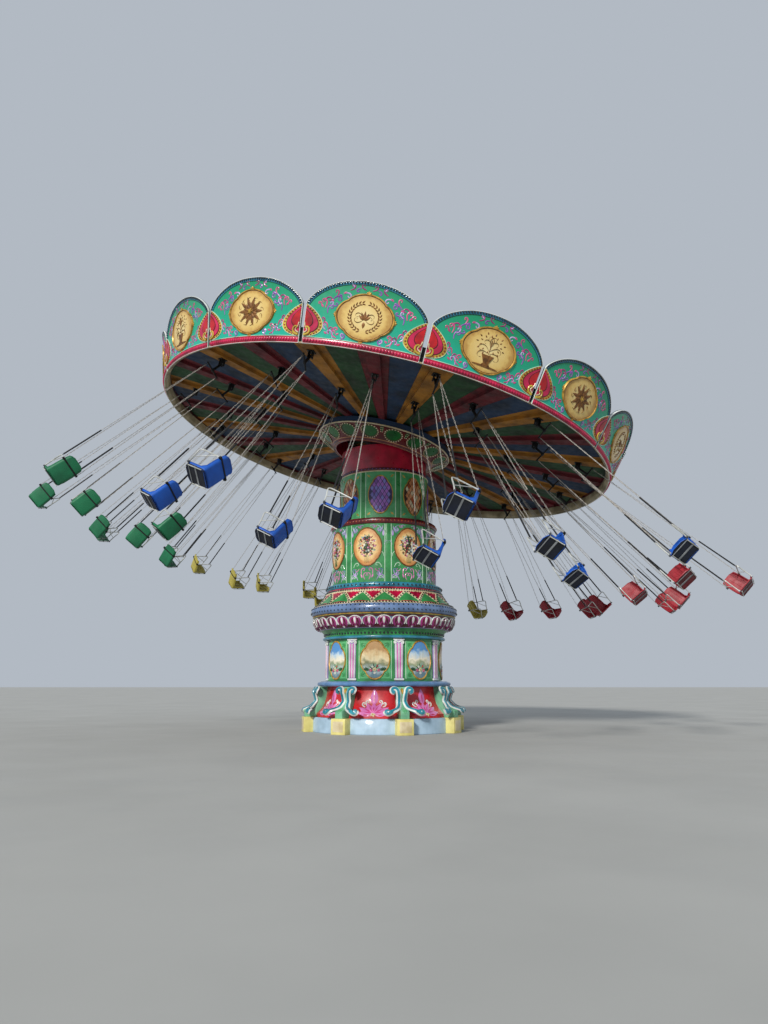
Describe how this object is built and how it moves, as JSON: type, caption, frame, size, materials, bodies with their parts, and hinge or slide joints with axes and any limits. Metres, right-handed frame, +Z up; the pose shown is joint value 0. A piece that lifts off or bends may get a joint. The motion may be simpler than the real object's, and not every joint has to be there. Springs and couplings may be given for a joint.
{
  "type": "chair swing ride",
  "caption": "Fairground chair swing ride: chain-hung seats fly out from a raised, tilting round roof with a scalloped crown on a stepped, painted tower.",
  "frame": {"origin": "on the ground, on the axis of the tower", "axes": "+Z up; -Y faces the viewer of the picture; +X is to the right, towards the low side of the tilted roof"},
  "size_m": [16.6623, 16.6408, 9.7081],
  "materials": {
    "plinth": "satin paint, worn",
    "pedestal": "gloss paint",
    "base_plate": "gloss paint",
    "lower_drum": "gloss paint with painted panels",
    "blue_ring": "gloss paint",
    "green_cove": "gloss paint",
    "scallop_band": "gloss paint",
    "blue_torus": "gloss paint",
    "triangle_cove": "gloss paint",
    "bulb_ring": "gloss paint",
    "floral_drum": "gloss paint with painted medallions",
    "bead_ring": "gloss paint",
    "lattice_drum": "gloss paint with painted ovals",
    "neck": "gloss paint",
    "tilt_head": "primer",
    "deck": "satin paint",
    "collar": "gloss paint",
    "crown": "gloss paint with painted and gilt ornament",
    "roof_cover": "satin paint",
    "swing_blue": "smooth moulded seat shell on galvanised chains and tube arms",
    "swing_red": "smooth moulded seat shell on galvanised chains and tube arms",
    "swing_yellow": "smooth moulded seat shell on galvanised chains and tube arms",
    "swing_green": "smooth moulded seat shell on galvanised chains and tube arms"
  },
  "bodies": {
    "root": {"plinth": "plinth", "pedestal": "pedestal", "base_plate": "base_plate", "lower_drum": "lower_drum", "blue_ring": "blue_ring", "green_cove": "green_cove", "scallop_band": "scallop_band", "blue_torus": "blue_torus", "triangle_cove": "triangle_cove", "bulb_ring": "bulb_ring"},
    "turning_drum": {"floral_drum": "floral_drum", "bead_ring": "bead_ring"},
    "rising_mast": {"lattice_drum": "lattice_drum", "neck": "neck"},
    "tilt_cradle": {"tilt_head": "tilt_head"},
    "roof": {"deck": "deck", "collar": "collar", "crown": "crown", "roof_cover": "roof_cover"},
    "inner_swing_01": {"swing_inner_01": "swing_green"},
    "inner_swing_02": {"swing_inner_02": "swing_green"},
    "inner_swing_03": {"swing_inner_03": "swing_blue"},
    "inner_swing_04": {"swing_inner_04": "swing_blue"},
    "inner_swing_05": {"swing_inner_05": "swing_blue"},
    "inner_swing_06": {"swing_inner_06": "swing_red"},
    "inner_swing_07": {"swing_inner_07": "swing_red"},
    "inner_swing_08": {"swing_inner_08": "swing_red"},
    "inner_swing_09": {"swing_inner_09": "swing_yellow"},
    "inner_swing_10": {"swing_inner_10": "swing_yellow"},
    "inner_swing_11": {"swing_inner_11": "swing_yellow"},
    "inner_swing_12": {"swing_inner_12": "swing_green"},
    "middle_swing_01": {"swing_middle_01": "swing_green"},
    "middle_swing_02": {"swing_middle_02": "swing_green"},
    "middle_swing_03": {"swing_middle_03": "swing_blue"},
    "middle_swing_04": {"swing_middle_04": "swing_blue"},
    "middle_swing_05": {"swing_middle_05": "swing_blue"},
    "middle_swing_06": {"swing_middle_06": "swing_red"},
    "middle_swing_07": {"swing_middle_07": "swing_red"},
    "middle_swing_08": {"swing_middle_08": "swing_red"},
    "middle_swing_09": {"swing_middle_09": "swing_yellow"},
    "middle_swing_10": {"swing_middle_10": "swing_yellow"},
    "middle_swing_11": {"swing_middle_11": "swing_yellow"},
    "middle_swing_12": {"swing_middle_12": "swing_green"},
    "outer_swing_01": {"swing_outer_01": "swing_green"},
    "outer_swing_02": {"swing_outer_02": "swing_green"},
    "outer_swing_03": {"swing_outer_03": "swing_blue"},
    "outer_swing_04": {"swing_outer_04": "swing_blue"},
    "outer_swing_05": {"swing_outer_05": "swing_blue"},
    "outer_swing_06": {"swing_outer_06": "swing_red"},
    "outer_swing_07": {"swing_outer_07": "swing_red"},
    "outer_swing_08": {"swing_outer_08": "swing_red"},
    "outer_swing_09": {"swing_outer_09": "swing_yellow"},
    "outer_swing_10": {"swing_outer_10": "swing_yellow"},
    "outer_swing_11": {"swing_outer_11": "swing_yellow"},
    "outer_swing_12": {"swing_outer_12": "swing_green"}
  },
  "joints": [
    {"name": "drum_turn", "type": "hinge", "parent": "root", "child": "turning_drum", "pos_m": [0, 0, 4.2], "axis": [0, 0, 1], "continuous": true},
    {"name": "mast_rise", "type": "slide", "parent": "turning_drum", "child": "rising_mast", "axis": [0, 0, 1], "range_m": [-1.8, 0]},
    {"name": "roof_tilt", "type": "hinge", "parent": "rising_mast", "child": "tilt_cradle", "pos_m": [0, 0, 7.23], "axis": [-0.0941, 0.9956, 0], "range_deg": [-12.68, 0]},
    {"name": "roof_spin", "type": "hinge", "parent": "tilt_cradle", "child": "roof", "pos_m": [0, 0, 7.23], "axis": [0.2185, 0.0207, 0.9756], "continuous": true},
    {"name": "swing_inner_01_fly", "type": "hinge", "parent": "roof", "child": "inner_swing_01", "pos_m": [-3.12514, -0.67009, 7.9442], "axis": [-0.2822, 0.9584, 0.0429], "range_deg": [-27.59, 4]},
    {"name": "swing_inner_02_fly", "type": "hinge", "parent": "roof", "child": "inner_swing_02", "pos_m": [-2.3722, -2.18281, 7.80758], "axis": [-0.7385, 0.6571, 0.1515], "range_deg": [-27.72, 4]},
    {"name": "swing_inner_03_fly", "type": "hinge", "parent": "roof", "child": "inner_swing_03", "pos_m": [-0.98364, -3.11066, 7.51619], "axis": [-0.9647, 0.155, 0.2128], "range_deg": [-29.95, 4]},
    {"name": "swing_inner_04_fly", "type": "hinge", "parent": "roof", "child": "inner_swing_04", "pos_m": [0.6685, -3.205, 7.14812], "axis": [-0.9145, -0.3445, 0.2121], "range_deg": [-35.64, 4]},
    {"name": "swing_inner_05_fly", "type": "hinge", "parent": "roof", "child": "inner_swing_05", "pos_m": [2.14151, -2.44057, 6.80199], "axis": [-0.66, -0.7333, 0.1634], "range_deg": [-44, 4]},
    {"name": "swing_inner_06_fly", "type": "hinge", "parent": "roof", "child": "inner_swing_06", "pos_m": [3.0407, -1.02219, 6.57054], "axis": [-0.2404, -0.9678, 0.0743], "range_deg": [-51.67, 4]},
    {"name": "swing_inner_07_fly", "type": "hinge", "parent": "roof", "child": "inner_swing_07", "pos_m": [3.12514, 0.67009, 6.5158], "axis": [0.2677, -0.9627, -0.0396], "range_deg": [-54.22, 4]},
    {"name": "swing_inner_08_fly", "type": "hinge", "parent": "roof", "child": "inner_swing_08", "pos_m": [2.3722, 2.18281, 6.65242], "axis": [0.7009, -0.6989, -0.1422], "range_deg": [-50.02, 4]},
    {"name": "swing_inner_09_fly", "type": "hinge", "parent": "roof", "child": "inner_swing_09", "pos_m": [0.98364, 3.11066, 6.94381], "axis": [0.9395, -0.2746, -0.2046], "range_deg": [-41.91, 4]},
    {"name": "swing_inner_10_fly", "type": "hinge", "parent": "roof", "child": "inner_swing_10", "pos_m": [-0.6685, 3.205, 7.31188], "axis": [0.9523, 0.2139, -0.2178], "range_deg": [-34.24, 4]},
    {"name": "swing_inner_11_fly", "type": "hinge", "parent": "roof", "child": "inner_swing_11", "pos_m": [-2.14151, 2.44057, 7.65801], "axis": [0.7122, 0.6801, -0.1739], "range_deg": [-29.64, 4]},
    {"name": "swing_inner_12_fly", "type": "hinge", "parent": "roof", "child": "inner_swing_12", "pos_m": [-3.0407, 1.02219, 7.88946], "axis": [0.2516, 0.9648, -0.0768], "range_deg": [-28.02, 4]},
    {"name": "swing_middle_01_fly", "type": "hinge", "parent": "roof", "child": "middle_swing_01", "pos_m": [-4.17111, 0.23819, 8.15926], "axis": [-0.0203, 0.9997, -0.0166], "range_deg": [-32.83, 4]},
    {"name": "swing_middle_02_fly", "type": "hinge", "parent": "roof", "child": "middle_swing_02", "pos_m": [-3.71888, -1.92995, 8.10387], "axis": [-0.5079, 0.8561, 0.0956], "range_deg": [-32.54, 4]},
    {"name": "swing_middle_03_fly", "type": "hinge", "parent": "roof", "child": "middle_swing_03", "pos_m": [-2.27018, -3.58096, 7.81433], "axis": [-0.8658, 0.4652, 0.1841], "range_deg": [-33.28, 4]},
    {"name": "swing_middle_04_fly", "type": "hinge", "parent": "roof", "child": "middle_swing_04", "pos_m": [-0.21319, -4.27245, 7.36822], "axis": [-0.9744, -0.0488, 0.2193], "range_deg": [-37.07, 4]},
    {"name": "swing_middle_05_fly", "type": "hinge", "parent": "roof", "child": "middle_swing_05", "pos_m": [1.90093, -3.81915, 6.88507], "axis": [-0.8318, -0.5189, 0.1973], "range_deg": [-44.44, 4]},
    {"name": "swing_middle_06_fly", "type": "hinge", "parent": "roof", "child": "middle_swing_06", "pos_m": [3.50569, -2.34251, 6.49434], "axis": [-0.4873, -0.8639, 0.1274], "range_deg": [-53.19, 4]},
    {"name": "swing_middle_07_fly", "type": "hinge", "parent": "roof", "child": "middle_swing_07", "pos_m": [4.17111, -0.23819, 6.30074], "axis": [0.009, -0.9998, 0.0192], "range_deg": [-58.86, 4]},
    {"name": "swing_middle_08_fly", "type": "hinge", "parent": "roof", "child": "middle_swing_08", "pos_m": [3.71888, 1.92995, 6.35613], "axis": [0.5162, -0.8509, -0.0976], "range_deg": [-57.89, 4]},
    {"name": "swing_middle_09_fly", "type": "hinge", "parent": "roof", "child": "middle_swing_09", "pos_m": [2.27018, 3.58096, 6.64567], "axis": [0.8625, -0.4718, -0.1832], "range_deg": [-51.05, 4]},
    {"name": "swing_middle_10_fly", "type": "hinge", "parent": "roof", "child": "middle_swing_10", "pos_m": [0.21319, 4.27245, 7.09178], "axis": [0.9757, 0.012, -0.2188], "range_deg": [-42.57, 4]},
    {"name": "swing_middle_11_fly", "type": "hinge", "parent": "roof", "child": "middle_swing_11", "pos_m": [-1.90093, 3.81915, 7.57493], "axis": [0.8418, 0.5017, -0.1992], "range_deg": [-36.32, 4]},
    {"name": "swing_middle_12_fly", "type": "hinge", "parent": "roof", "child": "middle_swing_12", "pos_m": [-3.50569, 2.34251, 7.96566], "axis": [0.4738, 0.8718, -0.1246], "range_deg": [-33.54, 4]},
    {"name": "swing_outer_01_fly", "type": "hinge", "parent": "roof", "child": "outer_swing_01", "pos_m": [-4.80938, -1.03122, 8.32911], "axis": [-0.266, 0.9632, 0.0392], "range_deg": [-36.48, 5.29]},
    {"name": "swing_outer_02_fly", "type": "hinge", "parent": "roof", "child": "outer_swing_02", "pos_m": [-3.65066, -3.3592, 8.11885], "axis": [-0.6958, 0.7042, 0.1409], "range_deg": [-36.41, 5.26]},
    {"name": "swing_outer_03_fly", "type": "hinge", "parent": "roof", "child": "outer_swing_03", "pos_m": [-1.51375, -4.78709, 7.67043], "axis": [-0.947, 0.2456, 0.2069], "range_deg": [-38.35, 5.13]},
    {"name": "swing_outer_04_fly", "type": "hinge", "parent": "roof", "child": "outer_swing_04", "pos_m": [1.02877, -4.93228, 7.104], "axis": [-0.9398, -0.2646, 0.2161], "range_deg": [-44, 4.94]},
    {"name": "swing_outer_05_fly", "type": "hinge", "parent": "roof", "child": "outer_swing_05", "pos_m": [3.29563, -3.75587, 6.57132], "axis": [-0.6975, -0.6959, 0.171], "range_deg": [-52.61, 4.79]},
    {"name": "swing_outer_06_fly", "type": "hinge", "parent": "roof", "child": "outer_swing_06", "pos_m": [4.67943, -1.57308, 6.21514], "axis": [-0.2599, -0.9624, 0.0786], "range_deg": [-60.52, 4.69]},
    {"name": "swing_outer_07_fly", "type": "hinge", "parent": "roof", "child": "outer_swing_07", "pos_m": [4.80938, 1.03122, 6.13089], "axis": [0.2773, -0.9599, -0.0418], "range_deg": [-63.11, 4.66]},
    {"name": "swing_outer_08_fly", "type": "hinge", "parent": "roof", "child": "outer_swing_08", "pos_m": [3.65066, 3.3592, 6.34115], "axis": [0.7271, -0.6703, -0.1487], "range_deg": [-58.74, 4.7]},
    {"name": "swing_outer_09_fly", "type": "hinge", "parent": "roof", "child": "outer_swing_09", "pos_m": [1.51375, 4.78709, 6.78957], "axis": [0.9548, -0.211, -0.2094], "range_deg": [-50.39, 4.81]},
    {"name": "swing_outer_10_fly", "type": "hinge", "parent": "roof", "child": "outer_swing_10", "pos_m": [-1.02877, 4.93228, 7.356], "axis": [0.9318, 0.2927, -0.2149], "range_deg": [-42.66, 4.99]},
    {"name": "swing_outer_11_fly", "type": "hinge", "parent": "roof", "child": "outer_swing_11", "pos_m": [-3.29563, 3.75587, 7.88868], "axis": [0.664, 0.7295, -0.1642], "range_deg": [-38.27, 5.17]},
    {"name": "swing_outer_12_fly", "type": "hinge", "parent": "roof", "child": "outer_swing_12", "pos_m": [-4.67943, 1.57308, 8.24486], "axis": [0.2225, 0.9724, -0.0704], "range_deg": [-36.88, 5.27]}
  ],
  "couplings": [
    {"joint": "roof_tilt", "follows": "mast_rise", "rad_per_m": 0.12295},
    {"joint": "swing_outer_01_fly", "follows": "swing_inner_01_fly", "ratio": 1.3222},
    {"joint": "swing_outer_02_fly", "follows": "swing_inner_02_fly", "ratio": 1.3135},
    {"joint": "swing_outer_03_fly", "follows": "swing_inner_03_fly", "ratio": 1.2805},
    {"joint": "swing_outer_04_fly", "follows": "swing_inner_04_fly", "ratio": 1.2347},
    {"joint": "swing_outer_05_fly", "follows": "swing_inner_05_fly", "ratio": 1.1957},
    {"joint": "swing_outer_06_fly", "follows": "swing_inner_06_fly", "ratio": 1.1713},
    {"joint": "swing_outer_07_fly", "follows": "swing_inner_07_fly", "ratio": 1.164},
    {"joint": "swing_outer_08_fly", "follows": "swing_inner_08_fly", "ratio": 1.1743},
    {"joint": "swing_outer_09_fly", "follows": "swing_inner_09_fly", "ratio": 1.2025},
    {"joint": "swing_outer_10_fly", "follows": "swing_inner_10_fly", "ratio": 1.2461},
    {"joint": "swing_outer_11_fly", "follows": "swing_inner_11_fly", "ratio": 1.291},
    {"joint": "swing_outer_12_fly", "follows": "swing_inner_12_fly", "ratio": 1.316}
  ]
}
